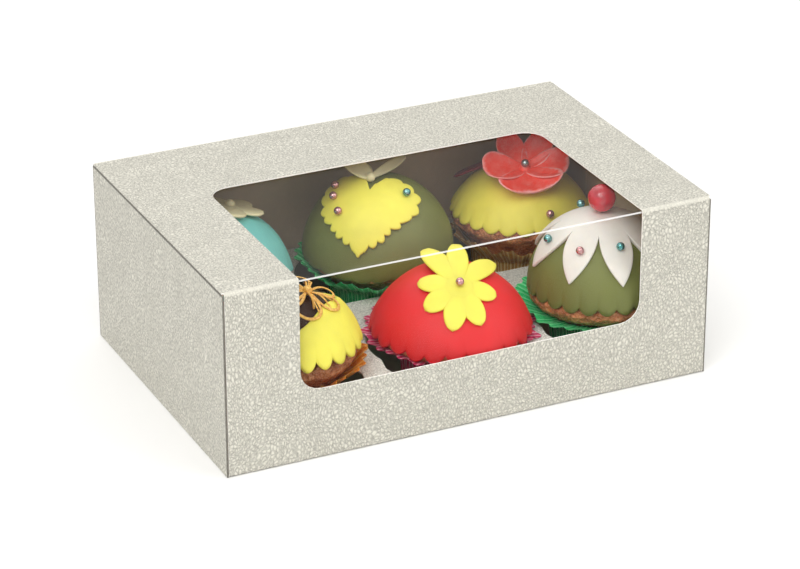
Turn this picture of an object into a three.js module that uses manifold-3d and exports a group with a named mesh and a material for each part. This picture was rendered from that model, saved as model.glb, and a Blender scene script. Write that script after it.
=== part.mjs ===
// A window carton for cupcakes, closed, with the cupcakes standing in its card insert.
// Millimetres, +Z up. The origin is the middle of the underside, and the window faces -Y.
import * as THREE from 'three';
import { mergeVertices } from 'three/addons/utils/BufferGeometryUtils.js';
import Module from 'manifold-3d';

const wasm = await Module();
wasm.setup();

// Carton board and its outside
const BOX_LENGTH = 243;
const BOX_DEPTH = 160;
const BOX_HEIGHT = 90;
const CARD = 0.6;
const FOLD_RADIUS = 1.2;
const FOLD_STEPS = 3;
const GAP = 0.3;
const CORNER_STEPS = 5;

// Window: the card that is left around it, and its clear film
const WINDOW_SIDE = 36;
const WINDOW_BACK = 53.5;
const WINDOW_BELOW = 34.5;
const WINDOW_CORNER = 10;
const FILM = 0.25;
const FILM_BORDER = 8;

// Flaps at both ends
const TUCK_REACH = 22;
const TUCK_CORNER = 9;
const TUCK_STEPS = 8;
const DUST_REACH = 42;
const DUST_DROP = 6;
const DUST_SLANT = 8;
const GLUE_TAB = 14;

// Insert: a card table with one hole for each cupcake
const INSERT_TOP = 27;
const INSERT_CARD = 0.6;
const COLUMNS = 3;
const HOLE_WEB = 13.6;
const HOLE_FRONT_SHARE = 0.848;
const HOLE_CUSP_SHARE = 0.234;
const HOLE_CORNER_SHARE = 0.351;
const HOLE_STEPS = 12;
const NOTCH_OVERHANG = 1.8;
const HOLE_END_MARGIN = 3.5;
const HOLE_FRONT_MARGIN = 5.5;
const HOLE_BACK_MARGIN = 6.3;

// Foil cases
const CASE_WALL = 0.4;
const CASE_TAPER = 2.6;
const CASE_SLACK = 9.6;
const PLEATS = 16;
const PLEAT_DEPTH = 0.35;
const FRILL_WAVE = 0.8;
const FRILL_LIFT = 0.9;
const FRILL_KNEE = { reach: 0.35, height: 0.45 };
const CASE_FILLING = 0.5;

// Cake and sugar paste
const PASTE = 2.2;
const CAKE_GAP = 1;
const SKIRT_GAP = 0.7;
const CAP_TURNS = 32;
const CAP_RINGS = 4;
const SCALLOP = 2.4;
const SCALLOPS = 16;
const DECOR = 1.8;
const DECOR_LIFT = 0.5;
const LOW_RISE = 3;
const HIGH_RISE = 4;
const BLOSSOM_SHARE = 0.237;
const BEAD_SHARE = 0.8;
const PEARL_RADIUS = 2;
const CHERRY_RADIUS = 6.6;
const RAFFIA_RADIUS = 0.6;
const KNOT_RADIUS = 1.8;
const SKIRT_TOP = { tilt: 44, wave: 11, peaks: 2, turn: 50 };
const HEART = { shortening: 0.24, notchSharpness: 12, tongueSharpness: 24 };

const COLOURS = {
  card: 0xe4e1d8, film: 0xdfe6ea, insert: 0xe2e0d9,
  olive: 0x7c8044, red: 0xd5323d, yellow: 0xeae55e, turquoise: 0x63c6c2,
  white: 0xefe8e2, cream: 0xe3dcc3, coral: 0xdb4a3a, maroon: 0x6b2336,
  chocolate: 0x2d1a1c, raffia: 0xe0a040, cherry: 0xb31a34,
  cake: 0x9c5230, green_foil: 0x1f7a3c, magenta_foil: 0x9b1f48, gold_foil: 0xb98a3e,
  orange_foil: 0xc86a24, teal_foil: 0x2c8c8a, pearl: 0xc98a94,
};

// Sizes that follow from the ones above
const lidUnder = BOX_HEIGHT - CARD;
const flapInner = BOX_LENGTH / 2 - CARD - GAP;
const dustInner = flapInner - CARD;
const insertHalfLength = dustInner - GAP;
const insertHalfDepth = BOX_DEPTH / 2 - CARD - GAP - FILM - GAP;
const windowHalf = BOX_LENGTH / 2 - WINDOW_SIDE;
const windowBackY = BOX_DEPTH / 2 - WINDOW_BACK;
const holesLength = 2 * (insertHalfLength - HOLE_END_MARGIN) - (COLUMNS - 1) * HOLE_WEB;
const holeRadius = holesLength / (2 * COLUMNS);
const holeFront = holeRadius * HOLE_FRONT_SHARE;
const columnPitch = 2 * holeRadius + HOLE_WEB;
const frontRowY = -(insertHalfDepth - HOLE_FRONT_MARGIN - holeFront);
const backRowY = insertHalfDepth - HOLE_BACK_MARGIN - holeRadius;
const cupcakePitch = Math.min(columnPitch, backRowY - frontRowY);
const floorTop = CARD + GAP;

const group = new THREE.Group();

// Adds one named sub-part with its own plain material
function addPart(name, geometry, colour, roughness = 0.7, metalness = 0, opacity = 1) {
  const material = new THREE.MeshStandardMaterial({
    color: colour, roughness, metalness, opacity, transparent: opacity < 1,
  });
  const mesh = new THREE.Mesh(geometry, material);
  mesh.name = name;
  group.add(mesh);
  return mesh;
}

function toSolid(geometry) {
  const plain = geometry.clone();
  plain.deleteAttribute('normal');
  plain.deleteAttribute('uv');
  const merged = mergeVertices(plain, 1e-5);
  return new wasm.Manifold(new wasm.Mesh({
    numProp: 3,
    vertProperties: new Float32Array(merged.attributes.position.array),
    triVerts: new Uint32Array(merged.index.array),
  }));
}

function toGeometry(solid) {
  const mesh = solid.getMesh();
  const geometry = new THREE.BufferGeometry();
  geometry.setAttribute('position', new THREE.BufferAttribute(new Float32Array(mesh.vertProperties), 3));
  geometry.setIndex(new THREE.BufferAttribute(new Uint32Array(mesh.triVerts), 1));
  return geometry;
}

function join(pieces) {
  return pieces.map(toSolid).reduce((all, next) => all.add(next));
}

function cutAway(solid, cutters) {
  return cutters.map(toSolid).reduce((rest, cutter) => rest.subtract(cutter), solid);
}

function block(low, high) {
  const size = high.map((value, axis) => value - low[axis]);
  const geometry = new THREE.BoxGeometry(...size);
  geometry.translate(...high.map((value, axis) => (value + low[axis]) / 2));
  return geometry;
}

// Turns a closed triangle list so that its faces point out
function facingOut(positions, triangles) {
  let volume = 0;
  const a = new THREE.Vector3();
  const b = new THREE.Vector3();
  const c = new THREE.Vector3();
  for (const [i, j, k] of triangles) {
    a.copy(positions[i]);
    b.copy(positions[j]);
    c.copy(positions[k]);
    volume += a.dot(b.cross(c));
  }
  const wound = volume < 0 ? triangles.map(([i, j, k]) => [i, k, j]) : triangles;
  const geometry = new THREE.BufferGeometry();
  geometry.setFromPoints(positions);
  geometry.setIndex(wound.flat());
  return geometry;
}

// A closed shell around a pole: outer and inner give a point for a share of the reach and a turn
function polarShell(turns, rings, outer, inner) {
  const positions = [];
  const triangles = [];
  const layers = [outer, inner].map((place) => {
    const pole = positions.push(place(0, 0)) - 1;
    const rows = [];
    for (let ring = 1; ring <= rings; ring += 1) {
      const row = [];
      for (let step = 0; step < turns; step += 1) {
        row.push(positions.push(place(ring / rings, 2 * Math.PI * step / turns)) - 1);
      }
      rows.push(row);
    }
    return { pole, rows };
  });
  layers.forEach(({ pole, rows }, layer) => {
    for (let step = 0; step < turns; step += 1) {
      const next = (step + 1) % turns;
      addTurned(triangles, layer, [pole, rows[0][step], rows[0][next]]);
      for (let ring = 1; ring < rings; ring += 1) {
        const [near, far] = [rows[ring - 1], rows[ring]];
        addTurned(triangles, layer, [near[step], far[step], far[next]]);
        addTurned(triangles, layer, [near[step], far[next], near[next]]);
      }
    }
  });
  const [top, bottom] = layers.map(({ rows }) => rows[rings - 1]);
  addBand(triangles, top, bottom);
  return facingOut(positions, triangles);
}

function addTurned(triangles, layer, [i, j, k]) {
  triangles.push(layer === 0 ? [i, j, k] : [i, k, j]);
}

// Joins two closed rows of points with a band of triangles
function addBand(triangles, first, second) {
  first.forEach((point, step) => {
    const next = (step + 1) % first.length;
    triangles.push([point, second[step], second[next]]);
    triangles.push([point, second[next], first[next]]);
  });
}

// A closed ring whose section is a closed loop of places, given as functions of the turn
function loopRing(turns, section) {
  const positions = [];
  const rows = section.map((place) => {
    const row = [];
    for (let step = 0; step < turns; step += 1) {
      row.push(positions.push(place(2 * Math.PI * step / turns)) - 1);
    }
    return row;
  });
  const triangles = [];
  rows.forEach((row, index) => addBand(triangles, row, rows[(index + 1) % rows.length]));
  return facingOut(positions, triangles);
}

// Extrudes a shape drawn in Y and Z along X, from low to high
function alongX(shape, low, high) {
  const geometry = new THREE.ExtrudeGeometry(shape, { depth: high - low, bevelEnabled: false });
  geometry.rotateX(Math.PI / 2);
  geometry.rotateZ(Math.PI / 2);
  geometry.translate(low, 0, 0);
  return geometry;
}

// Extrudes a shape drawn in X and Z along Y, from low to high
function alongY(shape, low, high) {
  const geometry = new THREE.ExtrudeGeometry(shape, { depth: high - low, bevelEnabled: false });
  geometry.rotateX(Math.PI / 2);
  geometry.translate(0, high, 0);
  return geometry;
}

function alongZ(shape, low, high) {
  const geometry = new THREE.ExtrudeGeometry(shape, { depth: high - low, bevelEnabled: false });
  geometry.translate(0, 0, low);
  return geometry;
}

// A rectangle with its own radius at each corner: low left, low right, high right, high left
function roundedRectangle(left, low, right, high, radii, steps) {
  const corners = [
    [left, low, 1, 1, Math.PI], [right, low, -1, 1, 1.5 * Math.PI],
    [right, high, -1, -1, 0], [left, high, 1, -1, 0.5 * Math.PI],
  ];
  const points = [];
  corners.forEach(([x, y, towardsX, towardsY, start], index) => {
    const radius = radii[index];
    const count = radius > 0 ? steps : 0;
    for (let step = 0; step <= count; step += 1) {
      const angle = start + (count > 0 ? step / count : 0) * Math.PI / 2;
      const centreX = x + towardsX * radius;
      const centreY = y + towardsY * radius;
      points.push(new THREE.Vector2(centreX + radius * Math.cos(angle), centreY + radius * Math.sin(angle)));
    }
  });
  return new THREE.Shape(points);
}

// The carton is one folded sheet: four walls around the length, short side flaps and a glued tab
function makeCarton() {
  const halfDepth = BOX_DEPTH / 2;
  const outside = Array(4).fill(FOLD_RADIUS);
  const inside = Array(4).fill(FOLD_RADIUS - CARD);
  const sleeve = alongX(
    roundedRectangle(-halfDepth, 0, halfDepth, BOX_HEIGHT, outside, FOLD_STEPS), -flapInner, flapInner);
  const hollow = alongX(
    roundedRectangle(-halfDepth + CARD, CARD, halfDepth - CARD, lidUnder, inside, FOLD_STEPS),
    -BOX_LENGTH, BOX_LENGTH);
  const lidEdge = block(
    [-BOX_LENGTH / 2, -halfDepth + FOLD_RADIUS, lidUnder],
    [BOX_LENGTH / 2, halfDepth - FOLD_RADIUS, BOX_HEIGHT]);
  const walls = cutAway(toSolid(sleeve), [hollow]);
  const extras = [lidEdge, makeGlueTab()];
  for (const end of [-1, 1]) {
    for (const side of [-1, 1]) {
      extras.push(makeDustFlap(end, side));
    }
  }
  const folded = walls.add(join(extras));
  return toGeometry(cutAway(folded, makeWindowCutters()));
}

function makeGlueTab() {
  const backInside = BOX_DEPTH / 2 - CARD / 2;
  return block([-flapInner, backInside - GLUE_TAB, CARD / 2], [flapInner, backInside, 2 * CARD]);
}

// A side flap that closes part of an end, under the end flap
function makeDustFlap(end, side) {
  const wall = side * (BOX_DEPTH / 2 - CARD / 2);
  const tip = side * (BOX_DEPTH / 2 - CARD - DUST_REACH);
  const low = 2 * CARD + GAP;
  const high = lidUnder - DUST_DROP;
  const outline = new THREE.Shape([
    new THREE.Vector2(wall, low),
    new THREE.Vector2(tip, low + DUST_SLANT),
    new THREE.Vector2(tip, high - DUST_SLANT),
    new THREE.Vector2(wall, high),
  ]);
  const near = end * dustInner;
  const far = end * flapInner;
  return alongX(outline, Math.min(near, far), Math.max(near, far));
}

// The window runs over the top front fold, with round corners at its back and its foot
function makeWindowCutters() {
  const depth = 4 * FOLD_RADIUS;
  const front = -BOX_DEPTH / 2;
  const onTop = roundedRectangle(
    -windowHalf, front - depth, windowHalf, windowBackY,
    [0, 0, WINDOW_CORNER, WINDOW_CORNER], CORNER_STEPS);
  const onFront = roundedRectangle(
    -windowHalf, WINDOW_BELOW, windowHalf, BOX_HEIGHT + depth,
    [WINDOW_CORNER, WINDOW_CORNER, 0, 0], CORNER_STEPS);
  return [
    alongZ(onTop, BOX_HEIGHT - depth, BOX_HEIGHT + depth),
    alongY(onFront, front - depth, front + depth),
  ];
}

// Clear film, glued behind the window in one sheet that follows the fold
function makeFilm() {
  const outerY = -BOX_DEPTH / 2 + CARD + GAP;
  const outerZ = lidUnder - GAP;
  const half = windowHalf + FILM_BORDER;
  const low = WINDOW_BELOW - FILM_BORDER;
  const back = windowBackY + FILM_BORDER;
  const points = [new THREE.Vector2(outerY, low)];
  const bend = (radius, inset, turnsBack) => {
    for (let step = 0; step <= FOLD_STEPS; step += 1) {
      const share = turnsBack ? 1 - step / FOLD_STEPS : step / FOLD_STEPS;
      const angle = Math.PI - share * Math.PI / 2;
      const y = outerY + inset + radius + radius * Math.cos(angle);
      const z = outerZ - inset - radius + radius * Math.sin(angle);
      points.push(new THREE.Vector2(y, z));
    }
  };
  bend(FOLD_RADIUS, 0, false);
  points.push(new THREE.Vector2(back, outerZ));
  points.push(new THREE.Vector2(back, outerZ - FILM));
  bend(FOLD_RADIUS - FILM, FILM, true);
  points.push(new THREE.Vector2(outerY + FILM, low));
  return alongX(new THREE.Shape(points), -half, half);
}

// An end flap hinged at the floor, with a tuck that is bent round the hinge line so that it clears the lid
function makeEndFlap(end) {
  const reach = lidUnder - GAP;
  const halfWidth = BOX_DEPTH / 2 - GAP;
  const outerX = end * BOX_LENGTH / 2;
  const bevel = FOLD_RADIUS / 2;
  const innerReach = reach - CARD;
  const points = [[0, 0], [0, reach - bevel]];
  for (let step = 0; step <= TUCK_STEPS; step += 1) {
    const across = bevel + (TUCK_REACH - bevel) * step / TUCK_STEPS;
    points.push([across, Math.sqrt(reach ** 2 - across ** 2)]);
  }
  for (let step = TUCK_STEPS; step >= 0; step -= 1) {
    const across = CARD + (TUCK_REACH - CARD) * step / TUCK_STEPS;
    points.push([across, Math.sqrt(innerReach ** 2 - across ** 2)]);
  }
  points.push([CARD, 0]);
  const profile = new THREE.Shape(
    points.map(([across, up]) => new THREE.Vector2(outerX - end * across, up)));
  const flap = toSolid(alongY(profile, -halfWidth, halfWidth));
  return toGeometry(cutAway(flap, makeTuckTrims(end, halfWidth)));
}

// Slanted ends of the tuck, one at each side
function makeTuckTrims(end, halfWidth) {
  const outerX = end * BOX_LENGTH / 2;
  return [-1, 1].map((side) => {
    const shape = new THREE.Shape([
      new THREE.Vector2(outerX - end * CARD, side * (halfWidth + 1)),
      new THREE.Vector2(outerX - end * CARD, side * (halfWidth - FOLD_RADIUS)),
      new THREE.Vector2(outerX - end * (TUCK_REACH + 1), side * (halfWidth - TUCK_CORNER)),
      new THREE.Vector2(outerX - end * (TUCK_REACH + 1), side * (halfWidth + 1)),
    ]);
    return alongZ(shape, lidUnder / 2, BOX_HEIGHT);
  });
}

// Outline of one hole: round at the back, and wider from two cusps to a nearly straight front
function holeOutline(centreX, centreY) {
  const right = [];
  const cuspAngle = -Math.asin(HOLE_CUSP_SHARE);
  const corner = holeRadius * HOLE_CORNER_SHARE;
  const half = holeRadius * Math.cos(cuspAngle) + NOTCH_OVERHANG;
  const cornerX = half - corner;
  const cornerY = -holeFront + corner;
  right.push([0, -holeFront]);
  for (let step = 0; step < CORNER_STEPS; step += 1) {
    const angle = -Math.PI / 2 + step / (CORNER_STEPS - 1) * Math.PI / 2;
    right.push([cornerX + corner * Math.cos(angle), cornerY + corner * Math.sin(angle)]);
  }
  for (let step = 0; step < HOLE_STEPS; step += 1) {
    const angle = cuspAngle + (Math.PI / 2 - cuspAngle) * step / HOLE_STEPS;
    right.push([holeRadius * Math.cos(angle), holeRadius * Math.sin(angle)]);
  }
  const left = right.slice(1).reverse().map(([x, y]) => [-x, y]);
  const loop = [...right, [0, holeRadius], ...left];
  return new THREE.Shape(loop.map(([x, y]) => new THREE.Vector2(centreX + x, centreY + y)));
}

// The insert: a table on two folded legs, which run along the front and the back of the carton
function makeInsert() {
  const legFoot = 2 * CARD + GAP;
  const innerFold = FOLD_RADIUS - INSERT_CARD;
  const outer = alongX(
    roundedRectangle(
      -insertHalfDepth, legFoot, insertHalfDepth, INSERT_TOP,
      [0, 0, FOLD_RADIUS, FOLD_RADIUS], FOLD_STEPS),
    -insertHalfLength, insertHalfLength);
  const inner = alongX(
    roundedRectangle(
      -insertHalfDepth + INSERT_CARD, -INSERT_TOP, insertHalfDepth - INSERT_CARD, INSERT_TOP - INSERT_CARD,
      [0, 0, innerFold, innerFold], FOLD_STEPS),
    -BOX_LENGTH, BOX_LENGTH);
  const holes = [];
  for (const rowY of [frontRowY, backRowY]) {
    for (let column = 0; column < COLUMNS; column += 1) {
      holes.push(alongZ(holeOutline(columnX(column), rowY), INSERT_TOP / 2, 2 * INSERT_TOP));
    }
  }
  return toGeometry(cutAway(toSolid(outer), [inner, ...holes]));
}

function columnX(column) {
  return (column - (COLUMNS - 1) / 2) * columnPitch;
}

// Works out one cupcake's dome: a ball cap of the wanted ring, height and place
function makeDome({ column, row, shiftX, shiftY, rise, headroom, sideGap, overlay = 0 }) {
  const ringZ = INSERT_TOP + rise;
  const ringRadius = cupcakePitch / 2 - sideGap - overlay;
  const height = BOX_HEIGHT - headroom - ringZ - overlay;
  const radius = (ringRadius ** 2 + height ** 2) / (2 * height);
  const rowY = row === 'front' ? frontRowY : backRowY;
  return {
    ringZ, ringRadius, radius,
    centre: new THREE.Vector3(columnX(column) + shiftX, rowY + shiftY, ringZ + height - radius),
    ringTilt: Math.acos((radius - height) / radius),
  };
}

// A point on the dome, lifted off its surface, at a tilt from the top and a turn about it
function domePoint(dome, tilt, turn, lift) {
  const reach = dome.radius + lift;
  return new THREE.Vector3(
    dome.centre.x + reach * Math.sin(tilt) * Math.cos(turn),
    dome.centre.y + reach * Math.sin(tilt) * Math.sin(turn),
    dome.centre.z + reach * Math.cos(tilt));
}

// A point that lies a distance and a heading away from a place on the dome, measured over its surface
function drapedPoint(dome, place, distance, heading, lift) {
  const away = distance / dome.radius;
  const direction = new THREE.Vector3(
    Math.sin(away) * Math.cos(heading), Math.sin(away) * Math.sin(heading), Math.cos(away));
  direction.applyAxisAngle(new THREE.Vector3(0, 1, 0), place.tilt);
  direction.applyAxisAngle(new THREE.Vector3(0, 0, 1), place.turn);
  return direction.multiplyScalar(dome.radius + lift).add(dome.centre);
}

function degrees(value) {
  return THREE.MathUtils.degToRad(value);
}

// Sugar paste laid over the cake, with a scalloped lower edge
function makePasteCap(dome, depth) {
  const edge = (turn) => {
    const lobe = Math.abs(Math.sin(SCALLOPS * turn / 2));
    return dome.ringTilt + (lobe - 0.5) * depth / dome.radius;
  };
  return polarShell(
    CAP_TURNS, CAP_RINGS,
    (share, turn) => domePoint(dome, share * edge(turn), turn, 0),
    (share, turn) => domePoint(dome, share * edge(turn), turn, -PASTE));
}

// The foil case: a pleated cup with a flat foot, and a frill that opens above the insert
function makeCase(dome, frill) {
  const { x, y } = dome.centre;
  const waist = holeRadius - CASE_SLACK;
  const profile = [
    [waist - CASE_TAPER, floorTop, 0],
    [waist, INSERT_TOP, PLEAT_DEPTH],
    [waist + frill.reach * FRILL_KNEE.reach, INSERT_TOP + frill.height * FRILL_KNEE.height, PLEAT_DEPTH],
    [waist + frill.reach, INSERT_TOP + frill.height, FRILL_WAVE],
  ];
  const place = (offset, lift) => (share, turn) => {
    const index = Math.round(share * profile.length) - 1;
    if (index < 0) {
      return new THREE.Vector3(x, y, floorTop + lift);
    }
    const [radius, z, wave] = profile[index];
    const step = Math.round(turn / Math.PI * PLEATS);
    const side = step % 2 === 0 ? 1 : -1;
    const reach = radius - offset + side * wave;
    const foot = index === 0 ? lift : 0;
    return new THREE.Vector3(x + reach * Math.cos(turn), y + reach * Math.sin(turn), z + foot);
  };
  return polarShell(2 * PLEATS, profile.length, place(0, 0), place(CASE_WALL, CASE_WALL));
}

// The cake: it fills the case, spreads over the frill and ends in a cap under the sugar paste
function makeCake(dome, frill) {
  const waist = holeRadius - CASE_SLACK;
  const inset = CASE_WALL + PLEAT_DEPTH + CASE_FILLING;
  const capRadius = dome.radius - PASTE - CAKE_GAP;
  const kneeReach = waist + frill.reach * FRILL_KNEE.reach - inset;
  const kneeTop = INSERT_TOP + frill.height * FRILL_KNEE.height + FRILL_LIFT;
  const brimTilt = dome.ringTilt - SCALLOP / dome.radius;
  const profile = [
    new THREE.Vector2(0, floorTop + CASE_WALL + GAP),
    new THREE.Vector2(waist - CASE_TAPER - inset, floorTop + CASE_WALL + GAP),
    new THREE.Vector2(waist - inset, INSERT_TOP),
    new THREE.Vector2(kneeReach, kneeTop),
  ];
  for (let step = 0; step <= CAP_RINGS; step += 1) {
    const tilt = brimTilt * (1 - step / CAP_RINGS);
    const up = dome.centre.z + capRadius * Math.cos(tilt);
    profile.push(new THREE.Vector2(step === CAP_RINGS ? 0 : capRadius * Math.sin(tilt), up));
  }
  const geometry = new THREE.LatheGeometry(profile, CAP_TURNS / 2);
  geometry.rotateX(Math.PI / 2);
  geometry.translate(dome.centre.x, dome.centre.y, 0);
  return toGeometry(toSolid(geometry));
}

// A flat cut shape laid on the dome: outline gives its reach for each heading, as a share of the ring radius
function makeDraped(dome, { tilt, turn, spin = 0, rise = 0, turns, rings = 3, outline }) {
  const place = { tilt: degrees(tilt), turn: degrees(turn) };
  const layer = (offset) => (share, heading) => {
    const distance = share * outline(heading) * dome.ringRadius;
    const lift = DECOR_LIFT + offset + rise * share ** 2;
    return drapedPoint(dome, place, distance, heading + degrees(spin), lift);
  };
  return polarShell(turns, rings, layer(DECOR), layer(0));
}

// Outline of a blossom: petals of a reach, with notches that go in to the waist
function petalOutline(petals, reach, waist, sharpness) {
  return (heading) => {
    const wave = Math.abs(Math.cos(petals * heading / 2));
    return waist + (reach - waist) * wave ** sharpness;
  };
}

// Outline of a heart, from its lower point round both lobes to the notch, with a small tongue at the point
function heartOutline(width, notch, tongue) {
  return (heading) => {
    const down = Math.max(0, Math.cos(heading));
    const up = Math.max(0, -Math.cos(heading));
    return width * (1 - HEART.shortening * down)
      - notch * up ** HEART.notchSharpness
      + tongue * down ** HEART.tongueSharpness;
  };
}

// Sugar pearls, each in a node of its own and just off what it sits on
function addPearls(name, dome, seats) {
  seats.forEach(({ tilt, turn, lift, colour = COLOURS.pearl }, index) => {
    const ball = new THREE.IcosahedronGeometry(PEARL_RADIUS, 1);
    const centre = domePoint(dome, degrees(tilt), degrees(turn), lift + GAP + PEARL_RADIUS);
    ball.translate(centre.x, centre.y, centre.z);
    addPart(`${name}_${index + 1}`, toGeometry(toSolid(ball)), colour, 0.25, 0.4);
  });
}

// A round tube along a curve that lies on the dome
function makeThread(dome, places, lift) {
  const points = places.map(([tilt, turn]) => domePoint(dome, degrees(tilt), degrees(turn), lift));
  const path = new THREE.CatmullRomCurve3(points);
  const section = new THREE.Shape();
  section.absarc(0, 0, RAFFIA_RADIUS, 0, 2 * Math.PI);
  return new THREE.ExtrudeGeometry(section, {
    steps: 2 * places.length, curveSegments: 3, bevelEnabled: false, extrudePath: path,
  });
}

// Sizes and places of the six cupcakes, measured from their holes in the insert
const backLeft = makeDome({
  column: 0, row: 'back', shiftX: 6, shiftY: 2, rise: 15, headroom: 18, sideGap: 5 });
const backMiddle = makeDome({
  column: 1, row: 'back', shiftX: 6.6, shiftY: -1, rise: 14, headroom: 14.5, sideGap: 4.6 });
const backRight = makeDome({
  column: 2, row: 'back', shiftX: 3, shiftY: 2, rise: 17, headroom: 23, sideGap: 6.6 });
const frontLeft = makeDome({
  column: 0, row: 'front', shiftX: 7, shiftY: 3, rise: 11.5, headroom: 21.5, sideGap: 6.2,
  overlay: PASTE + SKIRT_GAP });
const frontMiddle = makeDome({
  column: 1, row: 'front', shiftX: 7.5, shiftY: 3.2, rise: 7.7, headroom: 29.3, sideGap: 4 });
const frontRight = makeDome({
  column: 2, row: 'front', shiftX: 3.1, shiftY: 2, rise: 10, headroom: 18, sideGap: 6.8 });

const tallFrill = { height: 7.5, reach: 8 };
const middleFrill = { height: 5.5, reach: 8 };
const lowFrill = { height: 3, reach: 6.5 };

addPart('carton', makeCarton(), COLOURS.card);
addPart('left_end_flap', makeEndFlap(-1), COLOURS.card);
addPart('right_end_flap', makeEndFlap(1), COLOURS.card);
addPart('window_film', makeFilm(), COLOURS.film, 0.05, 0, 0.3);
addPart('insert', makeInsert(), COLOURS.insert);

// Back left cupcake: turquoise with a cream blossom
addPart('back_left_case', makeCase(backLeft, tallFrill), COLOURS.teal_foil, 0.3, 0.8);
addPart('back_left_cake', makeCake(backLeft, tallFrill), COLOURS.cake);
addPart('back_left_paste', makePasteCap(backLeft, SCALLOP), COLOURS.turquoise);
addPart('back_left_blossom', makeDraped(backLeft, {
  tilt: 14, turn: 20, spin: 10, rise: LOW_RISE, turns: 40, outline: petalOutline(5, 0.444, 0.222, 0.6),
}), COLOURS.cream);

// Back middle cupcake: olive green with a yellow heart and a cream bow
addPart('back_middle_case', makeCase(backMiddle, tallFrill), COLOURS.green_foil, 0.3, 0.8);
addPart('back_middle_cake', makeCake(backMiddle, tallFrill), COLOURS.cake);
addPart('back_middle_paste', makePasteCap(backMiddle, SCALLOP / 2), COLOURS.olive);
addPart('back_middle_heart', makeDraped(backMiddle, {
  tilt: 38, turn: -130, turns: 40, rings: 4, outline: heartOutline(0.714, 0.385, 0.192),
}), COLOURS.yellow);
addPart('back_middle_bow', makeDraped(backMiddle, {
  tilt: 16, turn: 85, spin: 100, rise: LOW_RISE, turns: 24, outline: petalOutline(2, 0.357, 0.082, 0.7),
}), COLOURS.cream);
addPearls('back_middle_pearl', backMiddle, [
  { tilt: 31, turn: 168, lift: DECOR + DECOR_LIFT }, { tilt: 37, turn: -175, lift: DECOR + DECOR_LIFT },
  { tilt: 45, turn: -156, lift: DECOR + DECOR_LIFT }, { tilt: 30, turn: -72, lift: DECOR + DECOR_LIFT },
]);

// Back right cupcake: yellow with a red blossom
addPart('back_right_case', makeCase(backRight, tallFrill), COLOURS.gold_foil, 0.3, 0.8);
addPart('back_right_cake', makeCake(backRight, tallFrill), COLOURS.cake);
addPart('back_right_paste', makePasteCap(backRight, SCALLOP), COLOURS.yellow);
const backRightRing = THREE.MathUtils.radToDeg(backRight.ringTilt);
const backRightBlossom = BLOSSOM_SHARE * backRightRing;
addPart('back_right_blossom', makeDraped(backRight, {
  tilt: backRightBlossom, turn: -95, spin: 12, rise: HIGH_RISE, turns: 40, outline: petalOutline(5, 0.523, 0.262, 0.5),
}), COLOURS.coral);
addPart('back_right_leaf', makeDraped(backRight, {
  tilt: 40, turn: 135, spin: 90, turns: 16, outline: petalOutline(2, 0.262, 0.102, 1),
}), COLOURS.maroon);
addPearls('back_right_pearl', backRight, [
  { tilt: backRightBlossom, turn: -95, lift: DECOR + DECOR_LIFT },
  { tilt: BEAD_SHARE * backRightRing, turn: -90, lift: 0 },
]);

// Front left cupcake: chocolate tied with raffia, in a yellow skirt
const skirtTop = (turn) => degrees(
  SKIRT_TOP.tilt - SKIRT_TOP.wave * Math.cos(SKIRT_TOP.peaks * (turn + degrees(SKIRT_TOP.turn))));
const skirtFoot = (turn) => {
  const lobe = Math.abs(Math.sin(SCALLOPS * turn / 2));
  return frontLeft.ringTilt + (lobe - 0.5) * SCALLOP / frontLeft.radius;
};
const skirtPlace = (share, lift) => (turn) => {
  const tilt = (1 - share) * skirtTop(turn) + share * skirtFoot(turn);
  return domePoint(frontLeft, tilt, turn, SKIRT_GAP + lift);
};
const skirtShares = [0, 1 / 3, 2 / 3, 1];
addPart('front_left_case', makeCase(frontLeft, middleFrill), COLOURS.orange_foil, 0.3, 0.8);
addPart('front_left_cake', makeCake(frontLeft, middleFrill), COLOURS.cake);
addPart('front_left_chocolate', makePasteCap(frontLeft, 0), COLOURS.chocolate);
addPart('front_left_skirt', loopRing(CAP_TURNS, [
  ...skirtShares.map((share) => skirtPlace(share, 0)),
  ...skirtShares.toReversed().map((share) => skirtPlace(share, PASTE)),
]), COLOURS.yellow);
const threadLift = DECOR_LIFT + RAFFIA_RADIUS;
const knotPlace = [16, -20];
const knot = new THREE.IcosahedronGeometry(KNOT_RADIUS, 1);
const knotCentre = domePoint(frontLeft, ...knotPlace.map(degrees), KNOT_RADIUS + DECOR_LIFT);
knot.translate(knotCentre.x, knotCentre.y, knotCentre.z);
const threads = [
  [knotPlace, [26, -15], [34, 5]],
  [knotPlace, [24, -75], [36, -85]],
  [knotPlace, [10, -130], [26, 170]],
  [knotPlace, [14, 40], [26, 75]],
].map((places) => makeThread(frontLeft, places, threadLift));
addPart('front_left_raffia', toGeometry(join([knot, ...threads])), COLOURS.raffia);

// Front middle cupcake: red with a yellow blossom
addPart('front_middle_case', makeCase(frontMiddle, lowFrill), COLOURS.magenta_foil, 0.3, 0.8);
addPart('front_middle_cake', makeCake(frontMiddle, lowFrill), COLOURS.cake);
addPart('front_middle_paste', makePasteCap(frontMiddle, SCALLOP), COLOURS.red);
addPart('front_middle_blossom', makeDraped(frontMiddle, {
  tilt: 24, turn: -103, spin: 4, turns: 48, outline: petalOutline(8, 0.568, 0.243, 0.7),
}), COLOURS.yellow);
addPearls('front_middle_pearl', frontMiddle, [
  { tilt: 24, turn: -103, lift: DECOR + DECOR_LIFT },
]);

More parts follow.
